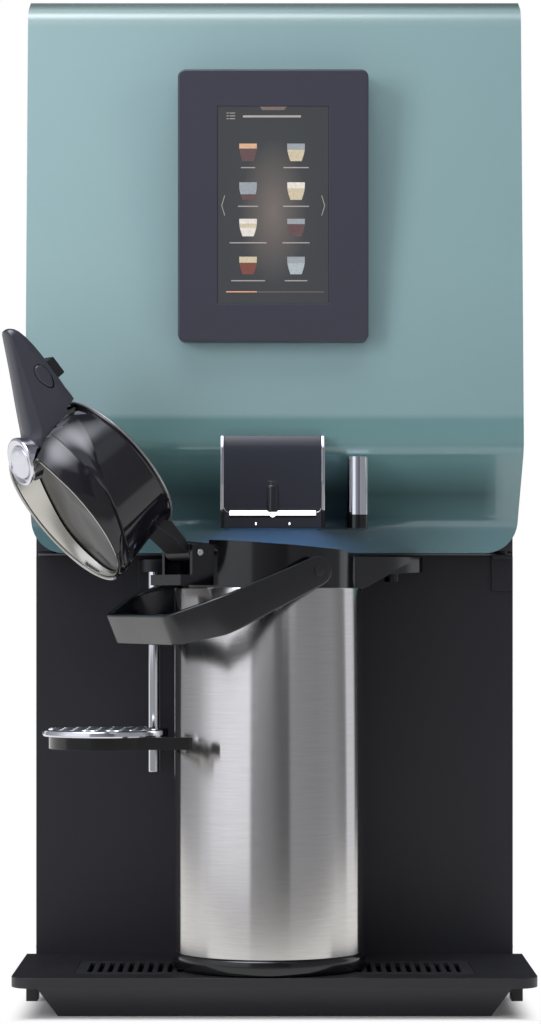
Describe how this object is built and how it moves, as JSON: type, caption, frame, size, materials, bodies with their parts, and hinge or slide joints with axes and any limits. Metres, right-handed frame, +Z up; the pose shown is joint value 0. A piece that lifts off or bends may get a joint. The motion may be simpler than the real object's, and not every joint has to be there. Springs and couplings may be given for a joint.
{
  "type": "instant drink dispenser",
  "caption": "Counter-top instant drink dispenser with curved translucent door, touch screen, lit outlet, hot water tap, swivelling cup holder, drip tray and an open lever pump flask.",
  "frame": {"origin": "on the counter, under the middle of the footprint from the drip tray's front edge to the cabinet's back, at the centre foot", "axes": "+X to the right seen from the front, +Y to the back, +Z up"},
  "size_m": [0.4043, 0.5822, 0.792],
  "materials": {
    "black_plastic": "fine grain",
    "black_sheet": "satin",
    "board": "lacquered",
    "brass": "machined",
    "chrome": "polished",
    "clear_plastic": "smoky clear",
    "gloss_black": "gloss",
    "grey_plastic": "satin",
    "light": "lit diffuser",
    "motor": "satin",
    "panel": "translucent gloss",
    "rubber": "matt",
    "screen": "gloss",
    "silicone": "translucent",
    "steel": "brushed",
    "white_plastic": "matt",
    "zinc_sheet": "satin"
  },
  "bodies": {
    "cabinet": {"base_pan": "zinc_sheet", "rubber_feet": "rubber", "side_panel_left": "black_sheet", "side_panel_right": "black_sheet", "rear_top_cover": "black_sheet", "lower_front_panel": "black_sheet", "deck": "zinc_sheet", "canister_shelf": "zinc_sheet", "drive_motors": "motor", "mixer_bowls": "white_plastic", "outlet_hoses": "silicone", "water_valves": "brass", "boiler": "steel", "power_supply": "zinc_sheet", "control_board": "board", "fan_housing": "black_plastic", "power_inlet": "black_plastic", "front_brackets": "motor", "cup_rod": "chrome"},
    "canister_1": {"canister_1": "clear_plastic"},
    "canister_lid_1": {"canister_lid_1": "white_plastic"},
    "auger_1": {"auger_1": "white_plastic"},
    "impeller_1": {"impeller_1": "white_plastic"},
    "canister_2": {"canister_2": "clear_plastic"},
    "canister_lid_2": {"canister_lid_2": "white_plastic"},
    "auger_2": {"auger_2": "white_plastic"},
    "impeller_2": {"impeller_2": "white_plastic"},
    "canister_3": {"canister_3": "clear_plastic"},
    "canister_lid_3": {"canister_lid_3": "white_plastic"},
    "auger_3": {"auger_3": "white_plastic"},
    "impeller_3": {"impeller_3": "white_plastic"},
    "fan_rotor": {"fan_rotor": "black_plastic"},
    "door": {"door_casing": "black_plastic", "door_panel": "panel", "screen_housing": "grey_plastic", "screen_glass": "screen", "display_unit": "black_plastic", "outlet_cover": "gloss_black", "outlet_frames": "chrome", "outlet_light": "light", "outlet_manifold": "white_plastic", "hot_water_tap": "chrome", "tap_foot": "gloss_black"},
    "door_lock": {"door_lock": "chrome"},
    "drip_tray": {"drip_tray": "black_plastic", "drip_grill": "black_plastic"},
    "tray_float": {"tray_float": "white_plastic"},
    "cup_holder": {"cup_tray": "gloss_black", "cup_rim": "chrome"},
    "flask": {"flask_base": "gloss_black", "flask_shell": "steel", "flask_liner": "steel", "flask_collar": "gloss_black", "lid_hinge_pin": "chrome"},
    "bail": {"bail_handle": "black_plastic"},
    "lid": {"lid_body": "gloss_black", "lid_bellows": "white_plastic"},
    "pump_lever": {"pump_lever": "gloss_black", "lid_band": "chrome"},
    "lever_lock": {"lever_lock": "gloss_black"}
  },
  "joints": [
    {"name": "door_hinge", "type": "hinge", "parent": "cabinet", "child": "door", "pos_m": [0.183, -0.095, 0.55], "axis": [0, 0, 1], "range_deg": [0, 100]},
    {"name": "flask_clear_slide", "type": "slide", "parent": "cabinet", "child": "flask", "axis": [0.342, -0.9397, 0], "range_m": [0, 0.7]},
    {"name": "door_lock_turn", "type": "hinge", "parent": "door", "child": "door_lock", "pos_m": [-0.186, -0.099, 0.56], "axis": [-1, 0, 0], "range_deg": [0, 90]},
    {"name": "canister_1_slide", "type": "slide", "parent": "cabinet", "child": "canister_1", "axis": [0, -1, 0], "range_m": [0, 0.045]},
    {"name": "canister_lid_1_hinge", "type": "hinge", "parent": "canister_1", "child": "canister_lid_1", "pos_m": [-0.12, 0.133, 0.7], "axis": [-1, 0, 0], "range_deg": [0, 11]},
    {"name": "auger_1_spin", "type": "hinge", "parent": "canister_1", "child": "auger_1", "pos_m": [-0.12, 0.03, 0.536], "axis": [0, 1, 0], "continuous": true},
    {"name": "impeller_1_spin", "type": "hinge", "parent": "cabinet", "child": "impeller_1", "pos_m": [-0.12, -0.05, 0.45], "axis": [0, 1, 0], "continuous": true},
    {"name": "canister_2_slide", "type": "slide", "parent": "cabinet", "child": "canister_2", "axis": [0, -1, 0], "range_m": [0, 0.045]},
    {"name": "canister_lid_2_hinge", "type": "hinge", "parent": "canister_2", "child": "canister_lid_2", "pos_m": [0, 0.133, 0.7], "axis": [-1, 0, 0], "range_deg": [0, 11]},
    {"name": "auger_2_spin", "type": "hinge", "parent": "canister_2", "child": "auger_2", "pos_m": [0, 0.03, 0.536], "axis": [0, 1, 0], "continuous": true},
    {"name": "impeller_2_spin", "type": "hinge", "parent": "cabinet", "child": "impeller_2", "pos_m": [0, -0.05, 0.45], "axis": [0, 1, 0], "continuous": true},
    {"name": "canister_3_slide", "type": "slide", "parent": "cabinet", "child": "canister_3", "axis": [0, -1, 0], "range_m": [0, 0.045]},
    {"name": "canister_lid_3_hinge", "type": "hinge", "parent": "canister_3", "child": "canister_lid_3", "pos_m": [0.12, 0.133, 0.7], "axis": [-1, 0, 0], "range_deg": [0, 11]},
    {"name": "auger_3_spin", "type": "hinge", "parent": "canister_3", "child": "auger_3", "pos_m": [0.12, 0.03, 0.536], "axis": [0, 1, 0], "continuous": true},
    {"name": "impeller_3_spin", "type": "hinge", "parent": "cabinet", "child": "impeller_3", "pos_m": [0.12, -0.05, 0.45], "axis": [0, 1, 0], "continuous": true},
    {"name": "fan_spin", "type": "hinge", "parent": "cabinet", "child": "fan_rotor", "pos_m": [0.11, 0.24, 0.65], "axis": [0, 1, 0], "continuous": true},
    {"name": "drip_tray_slide", "type": "slide", "parent": "cabinet", "child": "drip_tray", "axis": [0, -1, 0], "range_m": [0, 0.06]},
    {"name": "tray_float_lift", "type": "slide", "parent": "drip_tray", "child": "tray_float", "axis": [0, 0, 1], "range_m": [0, 0.006]},
    {"name": "cup_holder_swivel", "type": "hinge", "parent": "cabinet", "child": "cup_holder", "pos_m": [-0.096, -0.11, 0.2], "axis": [0, 0, -1], "range_deg": [0, 50]},
    {"name": "bail_pivot", "type": "hinge", "parent": "flask", "child": "bail", "pos_m": [-0.004, -0.179, 0.3387], "axis": [-0.4695, 0.8829, 0], "range_deg": [-20, 12]},
    {"name": "lid_hinge", "type": "hinge", "parent": "flask", "child": "lid", "pos_m": [-0.06934, -0.21374, 0.353], "axis": [-0.4695, 0.8829, 0], "range_deg": [0, 14]},
    {"name": "pump_lever_pivot", "type": "hinge", "parent": "lid", "child": "pump_lever", "pos_m": [-0.12032, -0.24085, 0.33236], "axis": [-0.4695, 0.8829, 0], "range_deg": [0, 3.8], "stiffness_Nm_per_rad": 40},
    {"name": "lever_lock_slide", "type": "slide", "parent": "pump_lever", "child": "lever_lock", "axis": [-0.4695, 0.8829, 0], "range_m": [0, 0.003]}
  ],
  "couplings": [
    {"joint": "flask_clear_slide", "follows": "door_hinge", "m_per_rad": 0.40107}
  ]
}
